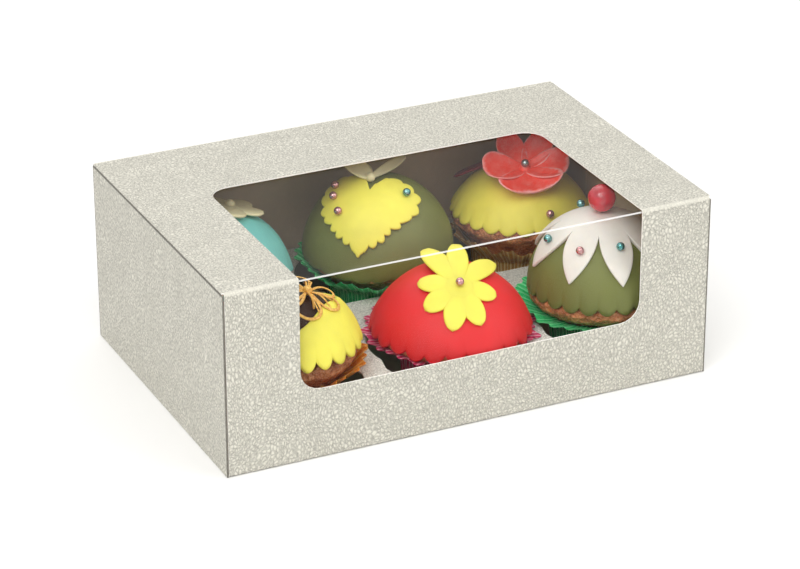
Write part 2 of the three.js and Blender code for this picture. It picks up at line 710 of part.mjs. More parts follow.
// Front right cupcake: olive green under white pointed petals, with a cherry on top
addPart('front_right_case', makeCase(frontRight, middleFrill), COLOURS.green_foil, 0.3, 0.8);
addPart('front_right_cake', makeCake(frontRight, middleFrill), COLOURS.cake);
addPart('front_right_paste', makePasteCap(frontRight, SCALLOP), COLOURS.olive);
addPart('front_right_petals', makeDraped(frontRight, {
  tilt: 0, turn: -95, turns: 48, rings: 5, outline: petalOutline(8, 1.14, 0.585, 0.9),
}), COLOURS.white);
addPearls('front_right_pearl', frontRight, [
  { tilt: 45, turn: 175, lift: DECOR + DECOR_LIFT }, { tilt: 44, turn: -140, lift: DECOR + DECOR_LIFT },
  { tilt: 40, turn: -95, lift: DECOR + DECOR_LIFT }, { tilt: 38, turn: -50, lift: DECOR + DECOR_LIFT },
  { tilt: 29, turn: 93, lift: DECOR + DECOR_LIFT },
]);
const cherry = new THREE.IcosahedronGeometry(CHERRY_RADIUS, 2);
const cherrySeat = domePoint(frontRight, 0, 0, DECOR + DECOR_LIFT + GAP + CHERRY_RADIUS);
cherry.translate(cherrySeat.x, cherrySeat.y, cherrySeat.z);
addPart('front_right_cherry', toGeometry(toSolid(cherry)), COLOURS.cherry, 0.15);

export default group;
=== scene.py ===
"""Looks of a closed window carton with cupcakes in its card insert.

Shapes are worked out in millimetres in the CAD frame, and become metres when a mesh is made.
"""

import math
import random

import bmesh
import bpy
from mathutils import Matrix, Vector, noise


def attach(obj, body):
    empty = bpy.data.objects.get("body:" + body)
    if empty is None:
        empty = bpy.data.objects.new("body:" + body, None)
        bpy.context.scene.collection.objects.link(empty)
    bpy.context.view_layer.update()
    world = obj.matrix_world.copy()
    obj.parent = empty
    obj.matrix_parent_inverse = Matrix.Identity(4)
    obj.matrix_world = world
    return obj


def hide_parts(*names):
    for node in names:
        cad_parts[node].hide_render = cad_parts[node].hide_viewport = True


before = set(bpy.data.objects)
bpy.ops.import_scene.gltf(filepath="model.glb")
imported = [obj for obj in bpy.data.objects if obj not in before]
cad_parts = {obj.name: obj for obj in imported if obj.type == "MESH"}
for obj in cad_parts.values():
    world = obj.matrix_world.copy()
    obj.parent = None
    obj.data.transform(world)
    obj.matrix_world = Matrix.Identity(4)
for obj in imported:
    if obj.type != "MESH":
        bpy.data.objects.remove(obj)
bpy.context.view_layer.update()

MM = 0.001
BODY = "box"
UP = Vector((0, 0, 1))

# Camera that matches the photograph: angles in degrees, distances in millimetres
CAMERA = {
    "azimuth": -25.266, "elevation": 25.268, "roll": -0.125,
    "distance": 1543.95, "right": 0.689, "up": 32.535, "lens": 145.586,
}

# Carton, insert, window film and foil cases, as in the solids
BOX = {"length": 243, "depth": 160, "height": 90}
CARD = 0.6
GAP = 0.3
FOLD_RADIUS = 1.2
INSERT_TOP = 27
WINDOW = {"half": 85.5, "back": 26.5, "foot": 34.5}
FILM = {"border": 8, "thickness": 0.25, "fold_steps": 10, "crease_down": 1.9, "crease_back": 1.5}
COLUMN_PITCH = 82
ROW_Y = {"front": -44.05, "back": 38.05}
CASE_WAIST = 24.6
CASE_TAPER = 2.6
INSIDE = {"x": 119.2, "y": 78}

# Board: colours of its skin, back and cut edges (a flap's cut edges darkened as painted shade of the gap),
# and of the painted shadow in a flap's seam
BOARD = (0.72, 0.7, 0.615)
BOARD_BACK = (0.52, 0.4, 0.28)
BOARD_CUT = (1.0, 0.99, 0.95)
# Painted shade: the flaps' cut edges are dark because they stand in the gap's shadow
FLAP_CUT_SHADE = (0.38, 0.36, 0.31)
SEAM_SHADOW_COLOUR = (0.13, 0.12, 0.1)
INSERT_COLOURS = {"back": (0.3, 0.28, 0.24), "skin": (0.78, 0.77, 0.7), "cut": (0.9, 0.89, 0.85)}

# How deep the skin, the cut edges and the insert's top reach, as shares of the board's thickness
SKIN_DEPTH = 0.75
RIM_DEPTH = 1.1
INSERT_DEPTH = 1.2

# Least part of a normal along an axis on a wall's skin, and most of it on a cut edge
SKIN_FACING = 0.35
RIM_FACING = 0.2

# Bands in from the outside, in millimetres: the soft fold, where the grain fades into a paler band that is a
# painted highlight, and the painted shadow in a flap's seams at its sides and top
FOLD_BAND = (2, 1.2)
SIDE_SEAM_SHADOW = (1.0, 0.7)
TOP_SEAM_SHADOW = (2.1, 1.8)

# Leather grain: scales count features in a metre, reaches are in millimetres, the rest are factors; dark
# darkens the creases as painted shade
GRAIN = {
    "cells": 700, "stretch": (1.0, 1.25, 0.72), "drift": 45, "drift_reach": 12, "wander": 600,
    "wander_reach": 1.2, "crease": 0.3, "fade": 0.6, "light": 1.07, "dark": 0.56,
}
BACK_LIGHT = 1.16

# Depth of the grain in millimetres
CARTON_GRAIN = 0.5
INSERT_GRAIN = 0.3

# Sugar paste and what lies on it, in millimetres, with the number of scallops
PASTE = 2.2
SKIRT_GAP = 0.7
SCALLOPS = 24
SCALLOP_DEPTH = 2.6
PETAL = 1.8
PETAL_GAP = 0.3
PEARL_RADIUS = 2
CHERRY_RADIUS = 6.6

# Foil case: its pleats, how far they wave, how ragged its edge is, its thickness, painted highlight stripes
# to a pleat
PLEATS = 30
PLEAT_WAVE = 0.9
RAGGED = 1.6
FOIL_THICKNESS = 0.25
FOIL_HIGHLIGHT_STRIPES = 3.0

# Studio: the floor and the point that the lamps face in metres, and the strengths of the room
FLOOR = {"reach": 6.0, "height": -0.0002}
LAMP_AIM = Vector((0, 0, 0.04))
ROOM = {"seen": 1.0, "light": 0.62}


def show(name, data):
    """Puts an object into the scene."""
    made = bpy.data.objects.new(name, data)
    bpy.context.scene.collection.objects.link(made)
    return made


def make_camera():
    """The camera that matches the photograph."""
    azimuth, elevation, roll = (math.radians(CAMERA[key]) for key in ("azimuth", "elevation", "roll"))
    back = Vector((
        math.sin(azimuth) * math.cos(elevation),
        -math.cos(azimuth) * math.cos(elevation),
        math.sin(elevation),
    ))
    level = Vector((math.cos(azimuth), math.sin(azimuth), 0))
    upright = back.cross(level)
    right = level * math.cos(roll) + upright * math.sin(roll)
    up = upright * math.cos(roll) - level * math.sin(roll)
    place = back * CAMERA["distance"] + right * CAMERA["right"] + up * CAMERA["up"]
    camera = show("camera", bpy.data.cameras.new("camera"))
    camera.matrix_world = Matrix((
        (right.x, up.x, back.x, place.x * MM),
        (right.y, up.y, back.y, place.y * MM),
        (right.z, up.z, back.z, place.z * MM),
        (0, 0, 0, 1),
    ))
    camera.data.lens = CAMERA["lens"]
    camera.data.sensor_width = 36
    camera.data.clip_start = 0.05
    camera.data.clip_end = 20
    bpy.context.scene.camera = camera


make_camera()


class Paint:
    """A procedural material that is built up node by node."""

    def __init__(self, name, **values):
        self.material = bpy.data.materials.new(name)
        self.material.use_nodes = True
        self.tree = self.material.node_tree
        self.shader = self.tree.nodes["Principled BSDF"]
        self.output = self.tree.nodes["Material Output"]
        self.fill(self.shader, values)
        self.place = self.node("ShaderNodeTexCoord").outputs["Object"]

    def fill(self, node, values):
        """Sets or links the inputs of a node, by name or by number."""
        for key, value in values.items():
            socket = node.inputs[key if isinstance(key, int) else key.replace("_", " ")]
            if isinstance(value, bpy.types.NodeSocket):
                self.tree.links.new(value, socket)
            elif socket.type == "RGBA" and len(value) == 3:
                socket.default_value = (*value, 1)
            else:
                socket.default_value = value

    def node(self, kind, **values):
        """Adds a node with its inputs."""
        made = self.tree.nodes.new(kind)
        self.fill(made, values)
        return made

    def arithmetic(self, kind, operation, values):
        """Adds one step of arithmetic."""
        made = self.tree.nodes.new(kind)
        made.operation = operation
        self.fill(made, dict(enumerate(values)))
        return made.outputs[0]

    def number(self, operation, *values):
        """Arithmetic on numbers."""
        return self.arithmetic("ShaderNodeMath", operation, values)

    def times(self, first, second):
        """A product."""
        return self.number("MULTIPLY", first, second)

    def vector(self, operation, *values):
        """Arithmetic on vectors."""
        return self.arithmetic("ShaderNodeVectorMath", operation, values)

    def axes(self, source):
        """X, Y and Z of a texture coordinate."""
        place = self.node("ShaderNodeTexCoord").outputs[source]
        return self.node("ShaderNodeSeparateXYZ", Vector=place).outputs

    def noise(self, scale, detail=3, roughness=0.55):
        """Soft noise from 0 to 1; the scale counts features in a metre."""
        made = self.node(
            "ShaderNodeTexNoise", Vector=self.place, Scale=scale, Detail=detail, Roughness=roughness)
        return made.outputs["Fac"]

    def span(self, value, low, high, to_low=0, to_high=1):
        """Maps one range of values to another."""
        made = self.tree.nodes.new("ShaderNodeMapRange")
        self.fill(made, dict(enumerate((value, low, high, to_low, to_high))))
        return made.outputs[0]

    def mix(self, share, first, second):
        """Mixes two colours."""
        made = self.tree.nodes.new("ShaderNodeMix")
        made.data_type = "RGBA"
        self.fill(made, {0: share, 6: first, 7: second})
        return made.outputs[2]

    def bump(self, height, distance, strength):
        """Normals for a relief; its distance is in metres."""
        made = self.node("ShaderNodeBump", Height=height, Distance=distance, Strength=strength)
        return made.outputs["Normal"]

    def finish(self, **values):
        """Sets the last inputs of the shader."""
        self.fill(self.shader, values)
        return self.material


def link_mesh(name, points, faces, material, slot, nodes=(), smooth=True, body=BODY, uvs=None):
    """Makes one piece from points in millimetres and lets it ride on a body."""
    mesh = bpy.data.meshes.new(name)
    mesh.from_pydata([Vector(point) * MM for point in points], [], faces)
    if uvs:
        layer = mesh.uv_layers.new(name="along")
        for loop in mesh.loops:
            layer.data[loop.index].uv = uvs[loop.vertex_index]
    work = bmesh.new()
    work.from_mesh(mesh)
    bmesh.ops.recalc_face_normals(work, faces=work.faces)
    work.to_mesh(mesh)
    work.free()
    for face in mesh.polygons:
        face.use_smooth = smooth
    mesh.materials.append(material)
    piece = show(name, mesh)
    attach(piece, body)
    if nodes:
        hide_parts(*nodes)


def skin(rows, start=None, end=None):
    """A surface through rows of points, closed by a pole at either end if one is given."""
    points = [Vector(point) for row in rows for point in row]
    count = len(rows[0])
    faces = []
    for index in range(len(rows) - 1):
        near = index * count
        far = near + count
        for step in range(count):
            after = (step + 1) % count
            faces.append((near + step, near + after, far + after, far + step))
    for pole, near in ((start, 0), (end, (len(rows) - 1) * count)):
        if pole is not None:
            points.append(Vector(pole))
            tip = len(points) - 1
            faces.extend((near + step, near + (step + 1) % count, tip) for step in range(count))
    return points, faces


def together(parts):
    """One list of points and faces from several."""
    points = []
    faces = []
    for part_points, part_faces in parts:
        first = len(points)
        points.extend(part_points)
        faces.extend(tuple(first + index for index in face) for face in part_faces)
    return points, faces


def ball(centre, radius, steps=20):
    """A ball; steps count its rows from pole to pole."""
    rows = []
    for index in range(1, steps):
        tilt = math.pi * index / steps
        rows.append([
            Vector(centre) + radius * Vector((
                math.sin(tilt) * math.cos(math.pi * step / steps),
                math.sin(tilt) * math.sin(math.pi * step / steps),
                math.cos(tilt),
            )) for step in range(2 * steps)
        ])
    return skin(rows, Vector(centre) + radius * UP, Vector(centre) - radius * UP)


def curve_points(controls, steps):
    """Points of a smooth curve through its controls."""
    controls = [Vector(point) for point in controls]
    ends = [2 * controls[0] - controls[1], *controls, 2 * controls[-1] - controls[-2]]
    points = []
    for index in range(1, len(ends) - 2):
        before, first, second, after = ends[index - 1:index + 3]
        for step in range(steps):
            share = step / steps
            points.append(0.5 * (
                2 * first + (second - before) * share
                + (2 * before - 5 * first + 4 * second - after) * share ** 2
                + (3 * first - before - 3 * second + after) * share ** 3))
    points.append(controls[-1])
    return points


def tube(points, radius, outward, flat, around=8):
    """A closed round or flattened thread along points, flat side away from the outward centre."""
    rows = []
    for index, point in enumerate(points):
        before = points[max(index - 1, 0)]
        after = points[min(index + 1, len(points) - 1)]
        along = (after - before).normalized()
        up = (point - outward).normalized()
        side = along.cross(up).normalized()
        up = side.cross(along)
        rows.append([
            point + side * radius * math.cos(2 * math.pi * step / around)
            + up * radius * flat * math.sin(2 * math.pi * step / around)
            for step in range(around)
        ])
    return skin(rows, points[0], points[-1])


def rounded(value, power):
    """A power of a value that keeps its sign; it squares off a round section."""
    return math.copysign(abs(value) ** power, value)


def keep_inside(point):
    """Keeps a point of a case or cake clear of the carton's walls."""
    return Vector((
        max(-INSIDE["x"], min(INSIDE["x"], point.x)),
        max(-INSIDE["y"], min(INSIDE["y"], point.y)),
        point.z,
    ))


class Dome:
    """The ball cap that a cupcake's sugar paste follows."""

    def __init__(self, column, row, shift_x, shift_y, rise, headroom, side_gap, overlay=0):
        self.ring_z = INSERT_TOP + rise
        self.ring_radius = COLUMN_PITCH / 2 - side_gap - overlay
        height = BOX["height"] - headroom - self.ring_z - overlay
        self.radius = (self.ring_radius ** 2 + height ** 2) / (2 * height)
        self.centre = Vector((
            (column - 1) * COLUMN_PITCH + shift_x, ROW_Y[row] + shift_y, self.ring_z + height - self.radius))
        self.ring_tilt = math.acos((self.radius - height) / self.radius)

    def direction(self, tilt, turn):
        """Unit vector for a tilt from the top and a turn, in degrees."""
        tilt, turn = math.radians(tilt), math.radians(turn)
        return Vector((math.sin(tilt) * math.cos(turn), math.sin(tilt) * math.sin(turn), math.cos(tilt)))

    def at(self, direction, lift=0.0):
        """The point of the dome in a direction, lifted off it."""
        return self.centre + direction.normalized() * (self.radius + lift)

    def point(self, tilt, turn, lift=0.0):
        """The point of the dome at a tilt and turn in degrees."""
        return self.at(self.direction(tilt, turn), lift)

    def beside(self, reach, turn, height):
        """A point round the cupcake's upright axis."""
        return Vector((
            self.centre.x + reach * math.cos(turn), self.centre.y + reach * math.sin(turn), height))

    def around(self, place, distance, heading):
        """The direction that lies a distance over the surface, on a heading in radians, from a place."""
        away = distance / self.radius
        tilt, turn = (math.radians(value) for value in place)
        direction = Vector((
            math.sin(away) * math.cos(heading), math.sin(away) * math.sin(heading), math.cos(away)))
        return Matrix.Rotation(turn, 3, "Z") @ (Matrix.Rotation(tilt, 3, "Y") @ direction)


# Column, row, shifts to the right and back, rise of the ring, room above, gap at the side, overlay
DOMES = {
    "back_left": Dome(0, "back", 6, 2, 15, 18, 5),
    "back_middle": Dome(1, "back", 6.6, -1, 14, 14.5, 4.6),
    "back_right": Dome(2, "back", 3, 2, 17, 23, 6.6),
    "front_left": Dome(0, "front", 7, 3, 11.5, 21.5, 6.2, PASTE + SKIRT_GAP),
    "front_middle": Dome(1, "front", 7.5, 3.2, 7.7, 29.3, 4),
    "front_right": Dome(2, "front", 3.1, 2, 10, 18, 6.8),
}


def band(paint, distance, outside, reach):
    """0 to 1 between two depths from the outside, all but the distance in millimetres."""
    far, near = reach
    return paint.span(distance, (outside - far) * MM, (outside - near) * MM)


def card_paint(name, cut, seam_shadow=0.0):
    """Board with a leather grain outside, cut edges and a brown back; a flap has painted shadow along its
    sides and top, and cut edges painted dark as shade of the gap.
    """
    paint = Paint(name, Roughness=0.6)
    place = paint.axes("Object")
    normal = paint.axes("Normal")
    outside = 0.0
    rim = 0.0
    walls = (
        ("X", BOX["length"] / 2, 0), ("Y", BOX["depth"] / 2, 0),
        ("Z", BOX["height"] / 2, BOX["height"] / 2 * MM),
    )
    for axis, half, middle in walls:
        away = paint.number("ABSOLUTE", paint.number("SUBTRACT", place[axis], middle))
        facing = paint.number("ABSOLUTE", normal[axis])
        skin_here = paint.times(
            paint.number("GREATER_THAN", away, (half - SKIN_DEPTH * CARD) * MM),
            paint.number("GREATER_THAN", facing, SKIN_FACING))
        edge_here = paint.times(
            paint.number("GREATER_THAN", away, (half - RIM_DEPTH * CARD) * MM),
            paint.number("LESS_THAN", facing, RIM_FACING))
        outside = paint.number("MAXIMUM", outside, skin_here)
        rim = paint.number("MAXIMUM", rim, edge_here)
    height = place["Z"]
    aside = paint.number("ABSOLUTE", place["Y"])
    half_depth = BOX["depth"] / 2
    # Along the top front fold the grain's painted crease shade fades, leaving a paler band that is a painted
    # highlight of the rounded fold
    fold = paint.times(
        band(paint, height, BOX["height"], FOLD_BAND), band(paint, aside, half_depth, FOLD_BAND))
    # A flap's painted shadow: a dark band along its sides and top stands in for the shade in the gap beside
    # the carton
    seam_shadows = paint.number(
        "MAXIMUM", band(paint, aside, half_depth, SIDE_SEAM_SHADOW), band(paint, height, BOX["height"], TOP_SEAM_SHADOW))
    border = paint.times(seam_shadows, seam_shadow)
    return finish_card(
        paint, outside, rim, CARTON_GRAIN, {"back": BOARD_BACK, "skin": BOARD, "cut": cut}, fold, border)


def finish_card(paint, outside, rim, grain_depth, colours, fold=0.0, border=0.0):
    """Colours the skin, back and cut edge, presses the leather grain into the skin and darkens its creases
    with painted shade.
    """
    place = paint.place
    for name, detail in (("drift", 1), ("wander", 2)):
        source = paint.node("ShaderNodeTexNoise", Vector=paint.place, Scale=GRAIN[name], Detail=detail)
        reach = GRAIN[f"{name}_reach"] * MM
        shift = paint.vector("SUBTRACT", source.outputs["Color"], (0.5, 0.5, 0.5))
        place = paint.vector("ADD", place, paint.vector("MULTIPLY", shift, (reach, reach, reach)))
    place = paint.vector("MULTIPLY", place, GRAIN["stretch"])
    cells = paint.node("ShaderNodeTexVoronoi", Vector=place, Scale=GRAIN["cells"])
    cells.feature = "DISTANCE_TO_EDGE"
    lines = paint.span(cells.outputs["Distance"], 0.0, GRAIN["crease"], 1, 0)
    uneven = paint.span(paint.noise(GRAIN["cells"], 2), 0.35, 0.6, 0.5, 1)
    # On the fold the creases fade: a flatter grain, and a paler band that is a painted highlight
    flat = paint.number("SUBTRACT", 1.0, paint.times(fold, GRAIN["fade"]))
    creases = paint.times(paint.times(lines, uneven), flat)
    grain = paint.bump(paint.number("SUBTRACT", 1.0, creases), grain_depth * MM, 0.8)
    # Painted shade: the grain's creases are darker in colour as well as pressed in
    pale, dark = (tuple(c * GRAIN[key] for c in colours["skin"]) for key in ("light", "dark"))
    # The painted shadow of a flap's seam is mixed into the skin here
    skin_colour = paint.mix(border, paint.mix(creases, pale, dark), SEAM_SHADOW_COLOUR)
    back_light = tuple(c * BACK_LIGHT for c in colours["back"])
    back_colour = paint.mix(paint.noise(420, 3), colours["back"], back_light)
    colour = paint.mix(outside, paint.mix(rim, back_colour, colours["cut"]), skin_colour)
    plain = paint.node("ShaderNodeNewGeometry").outputs["Normal"]
    made = paint.tree.nodes.new("ShaderNodeMix")
    made.data_type = "VECTOR"
    paint.fill(made, {0: outside, 4: plain, 5: grain})
    return paint.finish(Base_Color=colour, Normal=made.outputs[1])


def insert_paint():
    """Board of the insert: grained on top, pale where it is cut, brown grey below."""
    paint = Paint("insert_board", Roughness=0.6)
    place = paint.axes("Object")
    normal = paint.axes("Normal")
    upward = paint.number("GREATER_THAN", normal["Z"], 0.5)
    high = paint.number("GREATER_THAN", place["Z"], (INSERT_TOP - INSERT_DEPTH * CARD) * MM)
    level = paint.number("LESS_THAN", paint.number("ABSOLUTE", normal["Z"]), RIM_FACING)
    rim = paint.times(high, level)
    return finish_card(
        paint, paint.times(upward, high), rim, INSERT_GRAIN, INSERT_COLOURS)


def paste_paint(name, colour, roughness=0.55, subsurface=0.12, brush=0.0):
    """Soft sugar paste with a faint powdery mottle; brushed paste is streaked and pale along its rim."""
    paint = Paint(name, Roughness=roughness)
    mottle = paint.span(paint.noise(120, 4, 0.6), 0.3, 0.7)
    deep = tuple(channel * 0.9 for channel in colour)
    tone = paint.mix(mottle, deep, colour)
    if brush:
        strokes = paint.span(paint.noise(260, 5, 0.7), 0.42, 0.68)
        pale = tuple(min(1.0, channel * 0.55 + 0.42) for channel in colour)
        tone = paint.mix(paint.times(strokes, brush), tone, pale)
        uneven = paint.span(strokes, 0, 1, -0.04, 0.04)
        rim = paint.span(paint.number("ADD", paint.axes("UV")["X"], uneven), 0.86, 0.97)
        tone = paint.mix(paint.times(rim, 0.85), tone, pale)
    fine = paint.number("ADD", paint.noise(900, 3), paint.times(paint.noise(90, 2), 1.5))
    return paint.finish(
        Base_Color=tone, Normal=paint.bump(fine, 0.25 * MM, 0.35), Subsurface_Weight=subsurface,
        Subsurface_Radius=(0.003, 0.002, 0.001), Subsurface_Scale=0.6)


def sponge_paint():
    """Cake crumb, baked brown in patches."""
    paint = Paint("sponge_crumb", Roughness=0.5)
    crumbs = paint.node("ShaderNodeTexVoronoi", Vector=paint.place, Scale=650)
    baked = paint.span(paint.noise(170, 4, 0.7), 0.35, 0.68)
    tone = paint.mix(baked, (0.28, 0.075, 0.025), (0.72, 0.3, 0.12))
    tone = paint.mix(
        paint.span(paint.noise(500, 3, 0.7), 0.58, 0.7, 0, 0.8), tone, (0.78, 0.45, 0.22))
    height = paint.number("ADD", crumbs.outputs["Distance"], paint.times(baked, 1.4))
    return paint.finish(Base_Color=tone, Normal=paint.bump(height, 0.8 * MM, 0.9))


def foil_paint(name, colour, highlight_stripe, shine=0.55):
    """Pleated foil: fine pale stripes along the pleats as painted highlights, darker patches on the crinkles
    as painted shade, and a crinkled shine.
    """
    paint = Paint(name, Roughness=0.3, Metallic=shine)
    wave = paint.number("SINE", paint.times(paint.axes("UV")["X"], FOIL_HIGHLIGHT_STRIPES * 2 * math.pi))
    lines = paint.span(wave, 0.2, 0.85)
    crumple = paint.noise(330, 3, 0.6)
    # Painted highlights: pale stripes along the pleats. Painted shade: the crinkles darken the colour in
    # patches
    tone = paint.mix(paint.times(lines, 0.7), colour, highlight_stripe)
    tone = paint.mix(paint.span(crumple, 0.55, 0.75, 0, 0.5), tone, tuple(c * 0.35 for c in colour))
    return paint.finish(Base_Color=tone, Normal=paint.bump(crumple, 0.9 * MM, 0.8))


def pearl_paint(name, colour):
    """Glossy sugar pearl, darker towards its outline as painted shade."""
    paint = Paint(name, Roughness=0.16, Metallic=0.75, Coat_Weight=0.6)
    outline_shade = paint.node("ShaderNodeLayerWeight", Blend=0.35).outputs["Facing"]
    tone = paint.mix(paint.span(paint.noise(700, 2), 0.3, 0.7, 0, 0.25), colour, (0.9, 0.85, 0.85))
    # Painted shade: the colour darkens towards the outline as the surface turns away from the camera
    tone = paint.mix(paint.times(outline_shade, 0.5), tone, tuple(c * 0.4 for c in colour))
    return paint.finish(Base_Color=tone)


def cherry_paint():
    """Wet, dark red cherry."""
    paint = Paint("cherry_glaze", Roughness=0.16, Coat_Weight=0.4, Subsurface_Weight=0.1)
    tone = paint.mix(paint.span(paint.noise(140, 3), 0.35, 0.7), (0.42, 0.001, 0.012), (0.75, 0.004, 0.03))
    return paint.finish(
        Base_Color=tone, Subsurface_Radius=(0.004, 0.001, 0.001), Subsurface_Scale=0.8,
        Normal=paint.bump(paint.noise(120, 2), 1.2 * MM, 0.5))


def chocolate_paint():
    """Dark chocolate with a soft shine."""
    paint = Paint("chocolate_glaze", Roughness=0.35, Specular_IOR_Level=0.25)
    tone = paint.mix(paint.noise(200, 4, 0.6), (0.03, 0.012, 0.007), (0.065, 0.026, 0.014))
    return paint.finish(Base_Color=tone, Normal=paint.bump(paint.noise(160, 3), 1.0 * MM, 0.4))


def raffia_paint():
    """Orange straw with fine fibres."""
    paint = Paint("raffia_thread", Roughness=0.4)
    fibres = paint.noise(900, 3, 0.7)
    tone = paint.mix(paint.span(fibres, 0.35, 0.65), (0.62, 0.25, 0.03), (0.98, 0.62, 0.14))
    return paint.finish(Base_Color=tone, Normal=paint.bump(fibres, 0.3 * MM, 0.5))


def film_paint():
    """Clear film: see-through, glossy and faintly milky, with a milky veil on top that is a painted
    reflection, and a white line along its fold that is a painted highlight.
    """
    paint = Paint("clear_film_sheet")
    place = paint.axes("Object")
    # Painted reflection on top and painted highlight along the crease, both in a white diffuse layer
    top = paint.number("GREATER_THAN", place["Z"], (BOX["height"] - FILM["crease_down"]) * MM)
    front = paint.number("LESS_THAN", place["Y"], (FILM["crease_back"] - BOX["depth"] / 2) * MM)
    crease = paint.times(top, front)
    uneven_reflection = paint.span(paint.noise(22, 3), 0.35, 0.7, 0.5, 1)
    top_reflection = paint.times(paint.times(top, 0.006), uneven_reflection)
    # A faint real haze everywhere, plus the painted reflection on top and the painted highlight along the
    # crease
    haze_and_painted_shine = paint.number("MAXIMUM", paint.number("ADD", top_reflection, 0.002), paint.times(crease, 0.6))
    clear = paint.node("ShaderNodeBsdfTransparent", Color=(0.985, 0.99, 0.99))
    haze_and_shine_white = paint.node("ShaderNodeBsdfDiffuse", Color=(0.95, 0.95, 0.95))
    ripple = paint.bump(paint.noise(14, 2), 3 * MM, 0.25)
    shine = paint.node("ShaderNodeBsdfGlossy", Color=(1, 1, 1), Roughness=0.04, Normal=ripple)
    body = paint.node("ShaderNodeMixShader")
    paint.fill(body, {0: haze_and_painted_shine, 1: clear.outputs[0], 2: haze_and_shine_white.outputs[0]})
    facing = paint.node("ShaderNodeLayerWeight", Blend=0.5).outputs["Facing"]
    grazing = paint.number("ADD", paint.times(paint.number("POWER", facing, 5), 0.16), 0.003)
    whole = paint.node("ShaderNodeMixShader")
    paint.fill(whole, {0: grazing, 1: body.outputs[0], 2: shine.outputs[0]})
    paint.tree.links.new(whole.outputs[0], paint.output.inputs["Surface"])
    return paint.material


# Sugar pastes: colour, and where they differ roughness, share of light let in and brush strokes
PASTES = {
    "olive": ((0.175, 0.19, 0.042),), "red": ((0.78, 0.012, 0.016), 0.55, 0.05),
    "yellow": ((0.93, 0.84, 0.1),), "turquoise": ((0.2, 0.62, 0.58),),
    "white": ((0.84, 0.79, 0.72), 0.5), "cream": ((0.82, 0.74, 0.46),),
    "coral": ((0.95, 0.045, 0.015), 0.35, 0.12, 0.25), "maroon": ((0.24, 0.012, 0.03),),
}

# Foils: colour, colour of the painted highlight stripes along the pleats, and shine where it differs
FOILS = {
    "green_foil": ((0.03, 0.6, 0.17), (0.3, 0.98, 0.5), 0.12),
    "magenta_foil": ((0.6, 0.02, 0.12), (0.95, 0.5, 0.6), 0.12),
    "gold_foil": ((0.6, 0.32, 0.08), (0.98, 0.8, 0.42), 0.2),
    "orange_foil": ((0.8, 0.24, 0.02), (1.0, 0.62, 0.14), 0.12),
    "teal_foil": ((0.04, 0.3, 0.28), (0.35, 0.75, 0.7)),
}
PEARLS = {
    "pink_pearl": ((0.55, 0.22, 0.22),), "teal_pearl": ((0.02, 0.26, 0.25),),
    "silver_pearl": ((0.2, 0.25, 0.25),),
}
PAINTS = {
    "carton": card_paint("carton_board", BOARD_CUT),
    # The flap's dark cut edges and its seam band are painted shade of the gap
    "flap": card_paint("flap_board", FLAP_CUT_SHADE, seam_shadow=0.85),
    "insert": insert_paint(), "film": film_paint(), "sponge": sponge_paint(),
    "chocolate": chocolate_paint(), "raffia": raffia_paint(), "cherry": cherry_paint(),
}
for make, ending, table in (
        (paste_paint, "sugar", PASTES), (foil_paint, "sheet", FOILS), (pearl_paint, "glaze", PEARLS)):
    for paint_name, values in table.items():
        PAINTS[paint_name] = make(f"{paint_name}_{ending}", *values)
SLOTS = {"carton": "carton_card", "insert": "insert_card", "film": "clear_film"}
SLOTS.update((paint_name, f"{paint_name}_paste") for paint_name in PASTES)


def add(name, shape, paint, nodes, smooth=True, uvs=None):
    """Makes a piece by the name of its paint."""
    link_mesh(name, *shape, PAINTS[paint], SLOTS.get(paint, paint), nodes, smooth, uvs=uvs)


# Card parts keep their solids
for node_name, paint_name in (
        ("carton", "carton"), ("left_end_flap", "flap"), ("right_end_flap", "flap"), ("insert", "insert")):
    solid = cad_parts[node_name]
    solid.data.materials.clear()
    solid.data.materials.append(PAINTS[paint_name])


def film_sheet():
    """The film as one thin sheet round the top front fold, with faint waves."""
    outer_y = -BOX["depth"] / 2 + CARD + GAP
    outer_z = BOX["height"] - CARD - GAP
    reach = FILM["thickness"]
    path = []
    foot = WINDOW["foot"] - FILM["border"]
    back = WINDOW["back"] + FILM["border"]
    for step in range(12):
        path.append((0, foot + (outer_z - FOLD_RADIUS - foot) * step / 12, 1, 0))
    for step in range(FILM["fold_steps"] + 1):
        angle = math.pi / 2 * step / FILM["fold_steps"]
        path.append((
            FOLD_RADIUS * (1 - math.cos(angle)), outer_z - FOLD_RADIUS * (1 - math.sin(angle)),
            math.cos(angle), math.sin(angle)))
    for step in range(1, 25):
        path.append((FOLD_RADIUS + (back - outer_y - FOLD_RADIUS) * step / 24, outer_z, 0, 1))
    half = WINDOW["half"] + FILM["border"]
    count = 48
    layers = []
    for inset in (0.02, reach):
        rows = []
        for along, up, front, top in path:
            row = []
            for step in range(count + 1):
                x = -half + 2 * half * step / count
                sag = 0.35 * (1 + noise.noise(Vector((x * 0.02, along * 0.03, up * 0.03)))) * reach
                row.append(Vector((
                    x, outer_y + along + front * (inset + sag), up - top * (inset + sag))))
            rows.append(row)
        layers.append(rows)
    ring = [outer + inner[::-1] for outer, inner in zip(*layers)]
    points, faces = skin(ring)
    width = len(ring[0])
    last = (len(ring) - 1) * width
    for step in range(count):
        for first in (0, last):
            faces.append((
                first + step, first + step + 1, first + width - 2 - step, first + width - 1 - step))
    return points, faces


add("window_film_sheet", film_sheet(), "film", ["window_film"])


